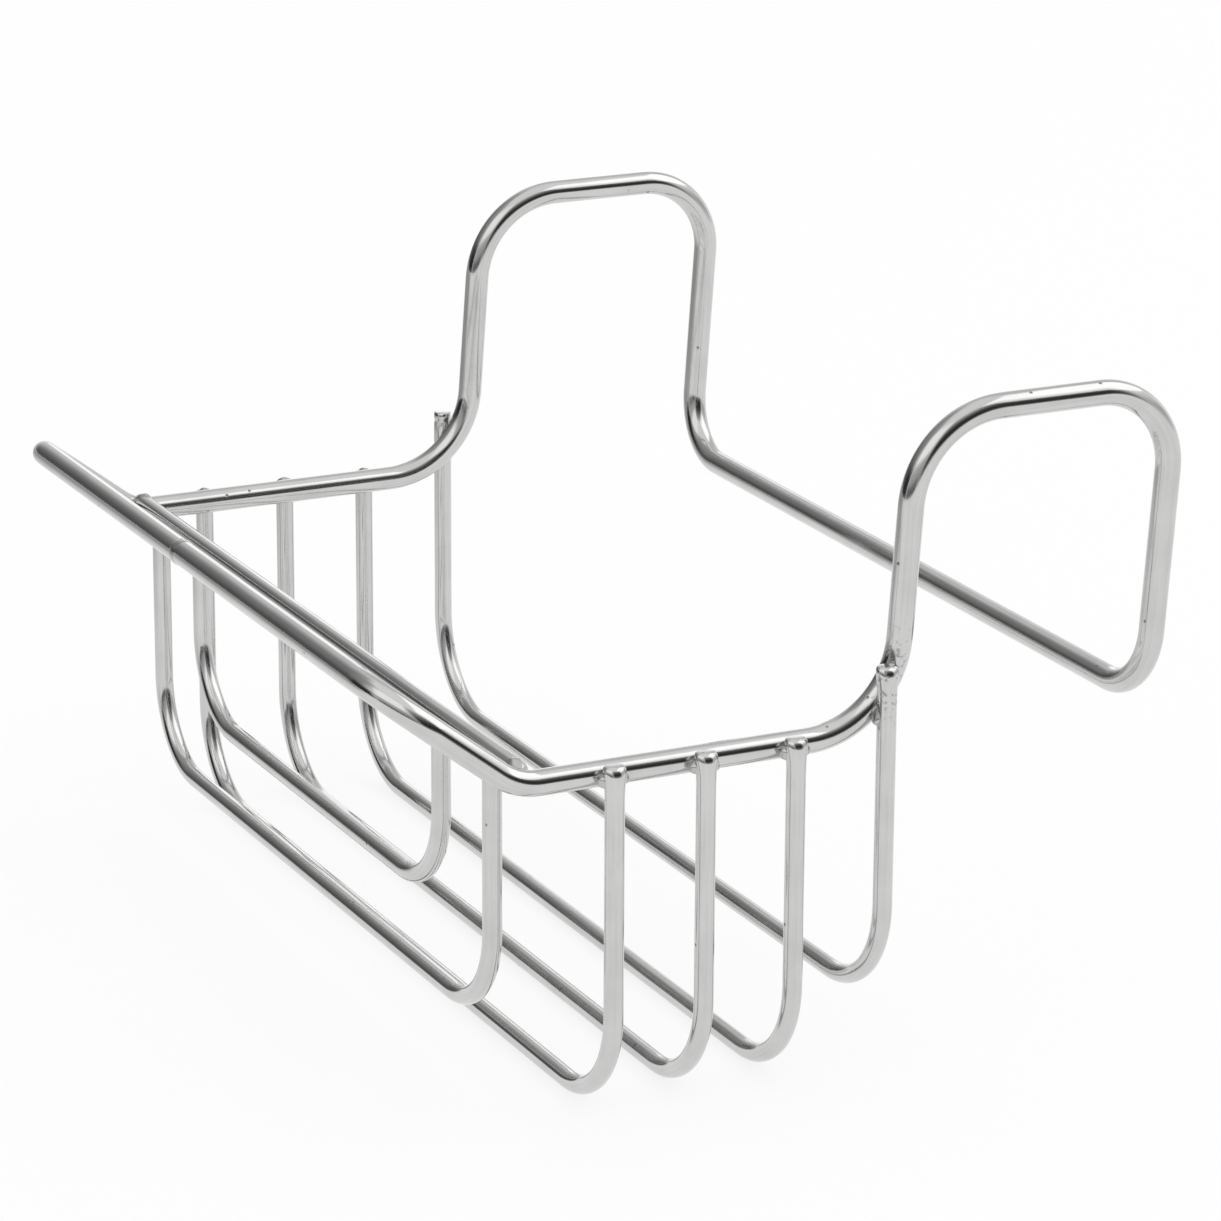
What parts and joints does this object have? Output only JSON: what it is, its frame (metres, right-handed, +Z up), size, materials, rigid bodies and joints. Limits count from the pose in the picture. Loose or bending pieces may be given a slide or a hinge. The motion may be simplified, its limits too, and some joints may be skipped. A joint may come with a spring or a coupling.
{
  "type": "over-divider sink sponge holder",
  "caption": "Open wire basket for a kitchen sponge, bent and welded from polished stainless wire, with a raised front lip and rear hoops that hang over a sink divider.",
  "frame": {"origin": "on the surface that the holder stands on, under the middle of its outline", "axes": "+X along the holder, +Y from the front lip to the rear hoops, +Z up"},
  "size_m": [0.1658, 0.133, 0.105],
  "materials": {
    "polished_wire": "bright polished stainless steel",
    "weld_metal": "polished-over resistance weld, slightly pitted"
  },
  "bodies": {
    "root": {"frame_wire": "polished_wire", "front_bar": "polished_wire", "rib_1": "polished_wire", "rib_2": "polished_wire", "rib_3": "polished_wire", "rib_rear": "polished_wire", "outer_loop": "polished_wire", "inner_loop": "polished_wire", "rib_1_weld_left": "weld_metal", "rib_1_weld_right": "weld_metal", "rib_2_weld_left": "weld_metal", "rib_2_weld_right": "weld_metal", "rib_3_weld_left": "weld_metal", "rib_3_weld_right": "weld_metal", "rib_rear_weld_left": "weld_metal", "rib_rear_weld_right": "weld_metal", "front_bar_weld_left": "weld_metal", "front_bar_weld_right": "weld_metal", "outer_loop_weld_left": "weld_metal", "outer_loop_weld_right": "weld_metal", "inner_loop_weld_left": "weld_metal", "inner_loop_weld_right": "weld_metal", "frame_seam_weld": "weld_metal"}
  },
  "joints": []
}
